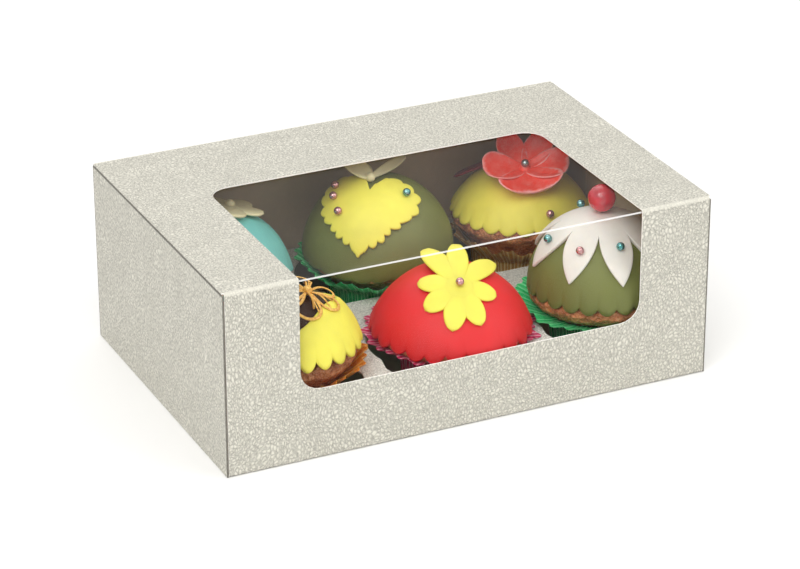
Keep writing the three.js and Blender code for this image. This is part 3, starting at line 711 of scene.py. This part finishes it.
def paste_cap(dome, seed, depth=SCALLOP_DEPTH, swell=0.5, uneven=0.0, drop=0.0, turns=288):
    """Sugar paste over a cake: a cap with a soft scalloped edge that turns under."""
    half = PASTE / 2
    rows = []
    shares = [index / 30 for index in range(1, 30)]
    edge = []
    for step in range(turns):
        turn = 2 * math.pi * step / turns
        wobble = noise.noise(Vector((math.cos(turn) * 2, math.sin(turn) * 2, seed))) * uneven
        lobe = abs(math.sin(SCALLOPS * turn / 2)) ** 0.8
        edge.append(((lobe - 0.6) * depth + wobble, lobe, turn))

    def place(distance, lift, turn):
        return dome.at(dome.direction(math.degrees(distance / dome.radius), math.degrees(turn)), lift)

    ring = dome.ring_tilt * dome.radius + drop
    for share in shares:
        near_edge = max(0.0, (share - 0.8) / 0.2)
        tilt = math.degrees(share * dome.ring_tilt)
        row = []
        for fall, lobe, turn in edge:
            seat = dome.direction(tilt, math.degrees(turn)) * 3 + Vector((seed, 0, 0))
            lift = near_edge * swell * (lobe - 0.5) + 0.3 * noise.noise(seat)
            row.append(place(share * (ring + fall * share ** 6 - half), lift, turn))
        rows.append(row)
    for angle in (15, 45, 75, 105, 135, 165):
        bend = math.radians(angle)
        rows.append([
            place(ring + fall - half + half * math.sin(bend),
                  swell * (lobe - 0.5) * (1 + math.cos(bend)) / 2 - half * (1 - math.cos(bend)), turn)
            for fall, lobe, turn in edge])
    for share in (0.95, 0.85):
        rows.append([place(share * ring, -PASTE, turn) for _, _, turn in edge])
    return skin(rows, dome.at(UP, 0.1), dome.at(UP, -PASTE))


def cake_body(dome, seed):
    """The baked cake between its case and the sugar paste, with a rough side."""
    ring = dome.ring_radius
    top = dome.ring_z
    sections = [
        (CASE_WAIST - 3, INSERT_TOP - 8), (CASE_WAIST - 1, INSERT_TOP), (ring * 0.86, top - 8),
        (ring - 1.6, top - 5), (ring - 0.7, top - 2.6), (ring - 1.4, top - 0.2), (ring - 3.6, top + 2),
    ]
    sections = [(radius, max(height, INSERT_TOP - 8 + 2 * index)) for index, (radius, height)
                in enumerate(sections)]
    turns = 160
    rows = []
    for point in curve_points([Vector((r, h, 0)) for r, h in sections], 5):
        row = []
        for step in range(turns):
            turn = 2 * math.pi * step / turns
            place = dome.beside(point.x, turn, point.y)
            rough = 0.9 * noise.noise(place * 0.45 + Vector((seed, 0, 0))) + 0.5 * noise.noise(place * 1.4)
            row.append(keep_inside(dome.beside(point.x + rough, turn, point.y)))
        rows.append(row)
    foot = Vector((dome.centre.x, dome.centre.y, INSERT_TOP - 8))
    crown = Vector((dome.centre.x, dome.centre.y, top + 3))
    return skin(rows, foot, crown)


def foil_case(dome, seed, rim_radius, rim_z):
    """A pleated foil cup with an open, ragged frill."""
    draw = random.Random(seed)
    floor = CARD + GAP
    knee = (CASE_WAIST + rim_radius) / 2
    knee_z = INSERT_TOP + (rim_z - INSERT_TOP) * 0.3
    sections = [
        (CASE_WAIST - CASE_TAPER, floor, 0.2), (CASE_WAIST - 0.5, INSERT_TOP - 3, 0.5),
        (CASE_WAIST + 2, INSERT_TOP, 0.6), (knee, knee_z, 0.8), (rim_radius, rim_z, 1.0),
    ]
    corners = 4
    turns = PLEATS * corners
    jitter = [(draw.uniform(-1, 1), draw.uniform(-1, 1), draw.uniform(-0.3, 0.3)) for _ in range(PLEATS)]
    outer = []
    uvs = []
    for radius, height, share in sections:
        row = []
        for step in range(turns):
            pleat = step // corners
            corner = step % corners
            out = 1 if corner in (1, 2) else -1
            push, lift, twist = jitter[pleat]
            turn = 2 * math.pi * (step + twist * share) / turns
            reach = radius + out * PLEAT_WAVE * share + push * RAGGED * share ** 4
            height_here = height + lift * RAGGED * share ** 4
            row.append(keep_inside(dome.beside(reach, turn, height_here)))
            uvs.append((step / corners, share))
        outer.append(row)
    middle = Vector((dome.centre.x, dome.centre.y, 0))
    inner = []
    for index, row in enumerate(reversed(outer)):
        inner.append([])
        for step, point in enumerate(row):
            away = Vector((point.x - middle.x, point.y - middle.y, 0)).normalized()
            inner[-1].append(point - away * FOIL_THICKNESS)
            uvs.append((step / corners, 1 - index / len(outer)))
    uvs.extend([(0, 0), (0, 0)])
    points, faces = skin(outer + inner, middle + UP * floor, middle + UP * (floor + FOIL_THICKNESS))
    return points, faces, uvs


def leaf(dome, start, tip, width, thickness, shape, rise, sections=16, around=16, flat=0.55):
    """A soft petal that lies over the dome from one direction to another."""
    across = start.cross(tip).normalized()
    angle = start.angle(tip)
    rows = []
    for index in range(1, sections):
        share = index / sections
        middle = Matrix.Rotation(angle * share, 3, across) @ start
        half = width / 2 * shape(share)
        base = PETAL_GAP + rise * share ** 2
        row = []
        for step in range(around):
            turn = 2 * math.pi * step / around
            aside = rounded(math.cos(turn), flat) * half
            up = base + thickness / 2 * (1 + rounded(math.sin(turn), flat))
            row.append(dome.at(middle + across * (aside / dome.radius), up))
        rows.append(row)
    middle = PETAL_GAP + thickness / 2
    return skin(rows, dome.at(start, middle), dome.at(tip, middle + rise))


def raised_petal(base, out, up, length, width, thickness, climb, curl, shape, sections=22, around=28):
    """A petal that leaves its base and bends up, with its sides curled up too."""
    side = up.cross(out).normalized()
    rows = []
    for index in range(1, sections):
        share = index / sections
        middle = base + out * (length * share) + up * (climb * share ** 2.6)
        half = width / 2 * shape(share)
        row = []
        for step in range(around):
            turn = 2 * math.pi * step / around
            aside = rounded(math.cos(turn), 0.6) * half
            lift = thickness / 2 * rounded(math.sin(turn), 0.6) + curl * (2 * aside / width) ** 2
            row.append(middle + side * aside + up * lift)
        rows.append(row)
    return skin(rows, base, base + out * length + up * climb)


def sheet_on(dome, place, outline, thickness, turns, swell=0.0):
    """A rolled and cut sheet laid on the dome; outline gives its reach for a heading in radians."""
    rows = []
    half = thickness / 2
    reaches = [outline(2 * math.pi * step / turns) for step in range(turns)]

    def point(step, distance, height):
        return dome.at(dome.around(place, distance, 2 * math.pi * step / turns), PETAL_GAP + height)

    for share in [index / 14 for index in range(1, 14)]:
        rows.append([
            point(step, share * (reach - half), thickness + swell * (1 - share ** 2))
            for step, reach in enumerate(reaches)])
    for angle in (0, 30, 60, 90, 120, 150, 180):
        bend = math.radians(angle)
        rows.append([
            point(step, reach - half + half * math.sin(bend), half + half * math.cos(bend))
            for step, reach in enumerate(reaches)])
    centre = dome.around(place, 0, 0)
    return skin(rows, dome.at(centre, PETAL_GAP + thickness + swell), dome.at(centre, PETAL_GAP))


def petal_shape(widest, foot, point):
    """Half width of a petal for a share of its length."""
    def shape(share):
        if share < widest:
            return foot + (1 - foot) * math.sin(math.pi / 2 * share / widest)
        return max(0.0, 1 - ((share - widest) / (1 - widest)) ** 2) ** point
    return shape


def cupcake(name, paste, foil, rim_radius, rim_z, seed, **cap):
    """The case, the cake and the sugar paste of one cupcake."""
    dome = DOMES[name]
    *shape, uvs = foil_case(dome, seed, rim_radius, rim_z)
    add(f"{name}_foil", shape, foil, [f"{name}_case"], smooth=False, uvs=uvs)
    add(f"{name}_sponge", cake_body(dome, seed), "sponge", [f"{name}_cake"])
    if paste:
        add(f"{name}_cover", paste_cap(dome, seed, **cap), paste, [f"{name}_paste"])
    return dome


def beads(dome, places, lift):
    """Sugar pearls on the dome: each has a name, its solid, a tilt, a turn and a paint."""
    for name, node, tilt, turn, colour in places:
        add(name, ball(dome.point(tilt, turn, lift + PEARL_RADIUS), PEARL_RADIUS), colour, [node])


def numbered(name, places):
    """Names the pearls of a cupcake and their solids by their order."""
    return [
        (f"{name}_bead_{order}", f"{name}_pearl_{order}", *place) for order, place in enumerate(places, 1)]


def level_out(heading, up):
    """A direction on a heading in degrees, square to the way up."""
    out = Vector((math.cos(math.radians(heading)), math.sin(math.radians(heading)), 0))
    return (out - up * out.dot(up)).normalized()


def back_left():
    """Turquoise, with a cream blossom."""
    dome = cupcake("back_left", "turquoise", "teal_foil", 36, 36, 1)
    place = (14, 20)
    shape = petal_shape(0.6, 0.5, 0.5)
    parts = []
    for index in range(5):
        tip = dome.around(place, 15.5, math.radians(72 * index + 20))
        parts.append(leaf(dome, dome.direction(*place), tip, 12.5, PETAL, shape, rise=3))
    parts.append(ball(dome.point(*place, 2.2), 2.4, 10))
    add("back_left_flower", together(parts), "cream", ["back_left_blossom"])


# Heart: its middle as tilt and turn, then its reach in millimetres for headings in degrees
HEART_PLACE = (40, -130)
HEART_REACH = (
    (-180, 12.5), (-163, 22), (-141, 30), (-120, 28.5), (-92, 22.4), (-60, 17.2), (-30, 16.6), (-12, 17.6),
    (-5, 20), (0, 21.8), (5, 20), (12, 17.8), (30, 16.8), (60, 15.4), (84, 18.6), (105, 25), (125, 28.2),
    (141, 27.4), (163, 24.5), (174, 17), (180, 12.5),
)

# Small lobes along its edge; the tip and the notch, by their headings, have none
HEART_LOBES = 11
HEART_LOBE_DEPTH = 2.3
HEART_TIP = 9
HEART_NOTCH = 168


def heart_outline(heading):
    """Reach of the heart's cut edge, with small lobes along it."""
    angle = (math.degrees(heading) + 180) % 360 - 180
    for (low, near), (high, far) in zip(HEART_REACH, HEART_REACH[1:]):
        if low <= angle <= high:
            share = (angle - low) / (high - low)
            smooth = share * share * (3 - 2 * share)
            base = near + (far - near) * smooth
            break
    if abs(angle) < HEART_TIP or abs(angle) > HEART_NOTCH:
        return base
    return base + HEART_LOBE_DEPTH * (abs(math.sin(math.radians(angle) * HEART_LOBES)) ** 0.7 - 0.6)


# Bow petals: direction, length, width and curl
BOW_PETALS = (
    ((0.874, 0.485, 0.02), 28, 4.8, 0.4), ((-0.48, 0.8, 0.34), 15, 10, 1.4), ((0.2, 0.95, 0.1), 11, 5, 0.5),
)


def bow(dome):
    """Cream petals at a knot above the heart, turned to the front."""
    knot = dome.point(9, -150, 2.5)
    facing = Vector((0.05, -0.62, 0.78)).normalized()
    shape = petal_shape(0.55, 0.45, 0.45)
    parts = [ball(knot + facing * 0.5, 2.4, 10)]
    for out, length, width, curl in BOW_PETALS:
        out = Vector(out).normalized()
        up = (facing - out * out.dot(facing)).normalized()
        parts.append(raised_petal(knot, out, up, length, width, PETAL, 1, curl, shape))
    return together(parts)


def back_middle():
    """Olive, with a yellow heart, a cream bow and four pearls."""
    name = "back_middle"
    dome = cupcake(name, "olive", "green_foil", 38.5, 34.5, 2, depth=1.0, uneven=1.6, swell=0.2, drop=4.2)
    heart = sheet_on(dome, HEART_PLACE, heart_outline, 2.0, turns=480)
    add(f"{name}_heart_cut", heart, "yellow", [f"{name}_heart"])
    add(f"{name}_bow_petals", bow(dome), "cream", [f"{name}_bow"])
    places = (
        (31, 168, "pink_pearl"), (37, -175, "pink_pearl"), (45, -156, "pink_pearl"), (30, -72, "teal_pearl"),
    )
    beads(dome, numbered(name, places), 2.0)


# Red petals: heading, length, width, climb and curl
RED_PETALS = (
    (-104, 18.5, 32, 3.0, 6.5), (-30, 21.5, 19, 6.5, 4.5), (35, 19, 14.5, 8.0, 2.0),
    (97, 19, 14.5, 8.0, 2.0), (172, 21.5, 18, 6.5, 5.0),
)


def red_flower(base, up):
    """Five cupped petals round a button, and how near each point lies to its petal's rim."""
    shape = petal_shape(0.62, 0.3, 0.42)
    parts = [ball(base, 3.0, 12)]
    rims = [0.0] * len(parts[0][0])
    for heading, length, width, climb, curl in RED_PETALS:
        out = level_out(heading, up)
        side = up.cross(out).normalized()
        points, faces = raised_petal(base, out, up, length, width, 1.9, climb, curl, shape)
        parts.append((points, faces))
        for point in points:
            share = min(1.0, max(0.0, (point - base).dot(out) / length))
            half = max(0.5, width / 2 * shape(share))
            rims.append(max(share, abs((point - base).dot(side)) / half))
    return together(parts), rims


def back_right():
    """Yellow, with a red blossom, a maroon leaf and two pearls."""
    name = "back_right"
    dome = cupcake(name, "yellow", "gold_foil", 33, 34, 3)
    base = dome.point(14, -105, 2.4)
    up = (dome.direction(14, -105) + Vector((-0.12, -0.2, 0))).normalized()
    flower_shape, rims = red_flower(base, up)
    add(f"{name}_flower", flower_shape, "coral", [f"{name}_blossom"], uvs=[(share, 0) for share in rims])
    add(f"{name}_bead_1", ball(base + up * 4.2, PEARL_RADIUS), "silver_pearl", [f"{name}_pearl_1"])
    beads(dome, [(f"{name}_bead_2", f"{name}_pearl_2", 54, -90, "pink_pearl")], 0.0)
    shape = petal_shape(0.5, 0.4, 0.6)
    maroon = leaf(dome, dome.direction(16, 115), dome.direction(52, 140), 10, PETAL, shape, rise=4.5)
    add(f"{name}_leaf_cut", maroon, "maroon", [f"{name}_leaf"])


# Wavy upper edge of the skirt: its middle tilt, its wave and the turn of a peak are in degrees
SKIRT_TOP = {"tilt": 44, "wave": 11, "peaks": 2, "turn": -50}

# Depth of its scallops, and how far above the ring it ends, in millimetres
SKIRT_LOBE = 4.2
SKIRT_RAISE = 3.2


def skirt(dome, turns=360):
    """Yellow skirt with a wavy upper edge and scallops below."""
    peak = math.radians(SKIRT_TOP["turn"])
    half = PASTE / 2
    columns = []
    for step in range(turns):
        turn = 2 * math.pi * step / turns
        wave = SKIRT_TOP["wave"] * math.cos(SKIRT_TOP["peaks"] * (turn - peak))
        lobe = abs(math.sin(SCALLOPS * turn / 2)) ** 0.8
        foot = dome.ring_tilt + ((lobe - 0.6) * SKIRT_LOBE - SKIRT_RAISE) / dome.radius
        columns.append((turn, math.radians(SKIRT_TOP["tilt"] - wave), foot, lobe))
    rows = []

    def point(turn, tilt, lift):
        return dome.at(dome.direction(math.degrees(tilt), math.degrees(turn)), SKIRT_GAP + lift)

    for share in [index / 12 for index in range(13)]:
        rows.append([
            point(turn, top + (foot - top) * share,
                  PASTE + 0.5 * (lobe - 0.5) * share ** 3 - (0.5 if share in (0, 1) else 0))
            for turn, top, foot, lobe in columns])
    for lift in (half, 0.2):
        rows.append([point(turn, foot + 0.3 / dome.radius, lift) for turn, _, foot, _ in columns])
    rows.append([point(turn, foot - 1 / dome.radius, 0) for turn, _, foot, _ in columns])
    rows.append([point(turn, top + 1 / dome.radius, 0) for turn, top, _, _ in columns])
    for lift in (0.2, half):
        rows.append([point(turn, top - 0.3 / dome.radius, lift) for turn, top, _, _ in columns])
    rows.append(rows[0])
    return skin(rows)


# Raffia: its knot as tilt and turn, its loose ends, and the heading and size of each loop
RAFFIA_KNOT = (16, -34)
RAFFIA_ENDS = 9
RAFFIA_LOOPS = ((-12, 7.5), (30, 6), (-75, 9), (-120, 8), (120, 6))


def raffia(dome):
    """Loose ends and loops of raffia round a knot."""
    draw = random.Random(11)
    parts = []
    for _ in range(RAFFIA_ENDS):
        heading = draw.uniform(-180, 180)
        far = draw.uniform(10, 19)
        bend = draw.uniform(-35, 35)
        path = [dome.point(*RAFFIA_KNOT, 1.8)]
        for share, lift in ((0.35, 3.6), (0.7, 3.0), (1.0, 1.0)):
            place = dome.around(RAFFIA_KNOT, far * share, math.radians(heading + bend * share))
            path.append(dome.at(place, lift * draw.uniform(0.6, 1.3)))
        radius = draw.uniform(0.35, 0.6)
        parts.append(tube(curve_points(path, 8), radius, outward=dome.centre, flat=0.5))
    for heading, size in RAFFIA_LOOPS:
        path = []
        for step in range(13):
            angle = 2 * math.pi * step / 12
            away = 1 - math.cos(angle)
            place = dome.around(RAFFIA_KNOT, size * away, math.radians(heading) + 0.5 * math.sin(angle))
            path.append(dome.at(place, 1.6 + 2.2 * away / 2))
        parts.append(tube(curve_points(path, 6), 0.75, outward=dome.centre, flat=0.4))
    parts.append(ball(dome.point(*RAFFIA_KNOT, 2.2), 2.3, 10))
    return together(parts)


def front_left():
    """Chocolate, with a yellow skirt and raffia."""
    name = "front_left"
    dome = cupcake(name, None, "orange_foil", 36, 33.5, 4)
    glaze = paste_cap(dome, 4, depth=0, swell=0, drop=-6)
    add(f"{name}_glaze", glaze, "chocolate", [f"{name}_chocolate"])
    add(f"{name}_petals", skirt(dome), "yellow", [f"{name}_skirt"])
    add(f"{name}_threads", raffia(dome), "raffia", [f"{name}_raffia"])


# Yellow petals: tilt and turn of the tip, width and rise
YELLOW_PETALS = (
    (54, -91, 10.5, 0), (56, -115, 10.5, 0), (44, -141, 11, 0), (28, -170, 10.5, 0.5), (39, -61, 10.5, 0),
    (31, 2, 10.5, 2.5), (20, 56, 9.5, 6.0), (23, 110, 10.5, 5.5),
)


# Disc in the middle of the yellow blossom, and how thick the blossom is
BLOSSOM_DISC = 7
BLOSSOM = 1.9


def front_middle():
    """Red, with a yellow blossom and a pearl."""
    name = "front_middle"
    dome = cupcake(name, "red", "magenta_foil", 40, 28.9, 5, uneven=2.0, depth=3.2, drop=3.6)
    centre = (24, -103)
    shape = petal_shape(0.58, 0.35, 0.62)
    parts = [sheet_on(dome, centre, lambda heading: BLOSSOM_DISC, BLOSSOM, turns=48, swell=0.3)]
    for tilt, turn, width, rise in YELLOW_PETALS:
        tip = dome.direction(tilt, turn)
        parts.append(leaf(dome, dome.direction(*centre), tip, width, BLOSSOM, shape, rise))
    add(f"{name}_flower", together(parts), "yellow", [f"{name}_blossom"])
    beads(dome, [(f"{name}_bead", f"{name}_pearl_1", *centre, "pink_pearl")], 2.6)


# White cover: headings of its petals in degrees, its reach at a notch and how far a petal goes on
COVER_TURNS = (-180, -134, -96, -52, -8, 36, 80, 125)
COVER_REACH = 16.5
COVER_PETAL = 25


def petals_outline(heading):
    """Reach of the white cover: pointed petals with narrow notches between them."""
    angle = (math.degrees(heading) + 180 + 12) % 360 - 12
    starts = [turn + 180 for turn in COVER_TURNS] + [360]
    best = min(starts, key=lambda turn: abs(angle - turn))
    order = starts.index(best)
    before = starts[order - 1] if order else starts[-2] - 360
    after = starts[order + 1] if order + 1 < len(starts) else 360 + starts[1]
    span = (after - best if angle > best else best - before) / 2
    share = min(1.0, abs(angle - best) / span)
    return COVER_REACH + COVER_PETAL * (1 - share) ** 0.62


def front_right():
    """Olive, with a white cover of petals, five pearls and a cherry."""
    name = "front_right"
    dome = cupcake(name, "olive", "green_foil", 39.5, 31.5, 6, depth=3.0, swell=0.9)
    cover = sheet_on(dome, (0, -180), petals_outline, 1.9, turns=576)
    add(f"{name}_cover_petals", cover, "white", [f"{name}_petals"])
    places = (
        (45, 175, "teal_pearl"), (44, -140, "pink_pearl"), (40, -97, "teal_pearl"), (38, -52, "pink_pearl"),
        (29, 93, "teal_pearl"),
    )
    beads(dome, numbered(name, places), 1.9)
    cherry = ball(dome.at(UP, 2.6 + CHERRY_RADIUS), CHERRY_RADIUS, 28)
    add(f"{name}_cherry_fruit", cherry, "cherry", [f"{name}_cherry"])


for make_cupcake in (back_left, back_middle, back_right, front_left, front_middle, front_right):
    make_cupcake()


def make_studio():
    """A white floor, a white room and soft lamps."""
    size = FLOOR["reach"]
    mesh = bpy.data.meshes.new("floor")
    corners = ((-size, -size), (size, -size), (size, size), (-size, size))
    mesh.from_pydata([(*corner, FLOOR["height"]) for corner in corners], [], [(0, 1, 2, 3)])
    paint = Paint("floor_white", Roughness=0.9, Specular_IOR_Level=0.0)
    tone = paint.mix(paint.noise(3, 1), (0.93, 0.93, 0.93), (0.95, 0.95, 0.95))
    mesh.materials.append(paint.finish(Base_Color=tone))
    floor = show("floor", mesh)
    lamps = (
        ("key", (-0.85, -0.85, 1.45), 1.3, 18, (1.0, 0.985, 0.96)),
        ("fill", (1.1, -1.0, 1.25), 1.4, 9, (1.0, 0.99, 0.97)),
        ("back", (0.2, 1.1, 1.5), 1.4, 8, (1.0, 0.99, 0.97)),
    )
    for name, place, width, power, colour in lamps:
        light = bpy.data.lights.new(name, "AREA")
        light.size = width
        light.energy = power
        light.color = colour
        lamp = show(name, light)
        lamp.location = place
        lamp.rotation_mode = "QUATERNION"
        lamp.rotation_quaternion = (Vector(place) - LAMP_AIM).to_track_quat("Z", "Y")
    world = bpy.data.worlds.new("room")
    bpy.context.scene.world = world
    world.use_nodes = True
    tree = world.node_tree
    tree.nodes.clear()
    output = tree.nodes.new("ShaderNodeOutputWorld")
    path = tree.nodes.new("ShaderNodeLightPath")
    seen = path.outputs["Is Camera Ray"]
    for name in ("Is Glossy Ray", "Is Transmission Ray"):
        either = tree.nodes.new("ShaderNodeMath")
        either.operation = "MAXIMUM"
        tree.links.new(seen, either.inputs[0])
        tree.links.new(path.outputs[name], either.inputs[1])
        seen = either.outputs[0]
    mix = tree.nodes.new("ShaderNodeMixShader")
    tree.links.new(seen, mix.inputs[0])
    for number, (use, colour) in enumerate((("light", (1, 0.995, 0.98, 1)), ("seen", (1, 1, 1, 1))), 1):
        room = tree.nodes.new("ShaderNodeBackground")
        room.inputs["Color"].default_value = colour
        room.inputs["Strength"].default_value = ROOM[use]
        tree.links.new(room.outputs[0], mix.inputs[number])
    tree.links.new(mix.outputs[0], output.inputs["Surface"])
    bpy.context.scene.view_settings.view_transform = "Standard"


make_studio()
